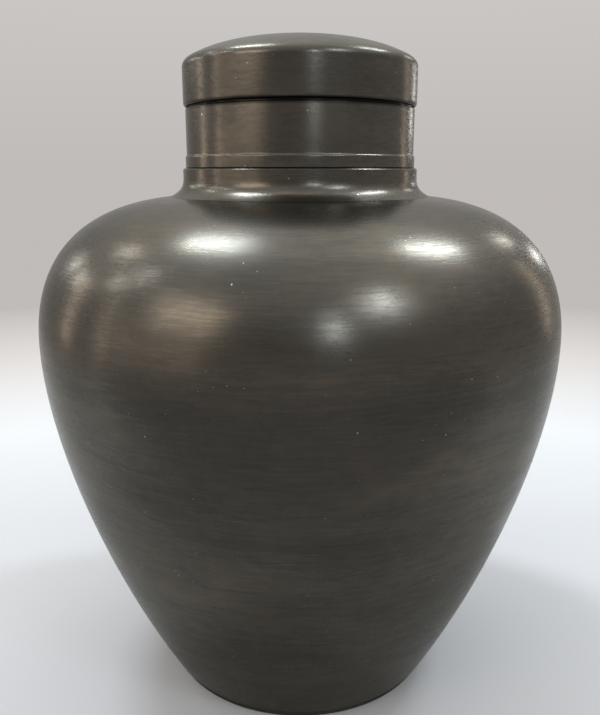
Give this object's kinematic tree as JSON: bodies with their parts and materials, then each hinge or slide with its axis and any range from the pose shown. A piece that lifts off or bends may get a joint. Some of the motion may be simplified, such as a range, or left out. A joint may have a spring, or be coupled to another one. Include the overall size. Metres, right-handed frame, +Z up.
{
  "type": "tin tea jar",
  "caption": "Round-bellied metal jar for tea leaves with a narrow neck, a lift-out inner lid with a knob and a tall outer lid that lifts off.",
  "frame": {"origin": "on the jar's axis, on the surface that the jar stands on", "axes": "+Z up along the jar's axis; the pictured side faces -Y"},
  "size_m": [0.13, 0.13, 0.1613],
  "materials": {
    "tin": "satin, patinated dark, fine turning lines",
    "pale_tin": "satin, less patinated"
  },
  "bodies": {
    "jar": {"foot_ring": "tin", "base_plate": "pale_tin", "lower_body": "tin", "shoulder_shell": "tin", "neck_ring": "tin", "mouth_collar": "pale_tin"},
    "inner_lid": {"inner_lid_plate": "pale_tin", "inner_lid_plug": "pale_tin", "inner_lid_knob": "pale_tin"},
    "outer_lid": {"lid_skirt": "tin", "lid_cap": "tin"}
  },
  "joints": [
    {"name": "inner_lid_lift", "type": "slide", "parent": "jar", "child": "inner_lid", "axis": [0, 0, 1], "range_m": [0, 0.03]},
    {"name": "outer_lid_lift", "type": "slide", "parent": "inner_lid", "child": "outer_lid", "axis": [0, 0, 1], "range_m": [0, 0.04]}
  ]
}
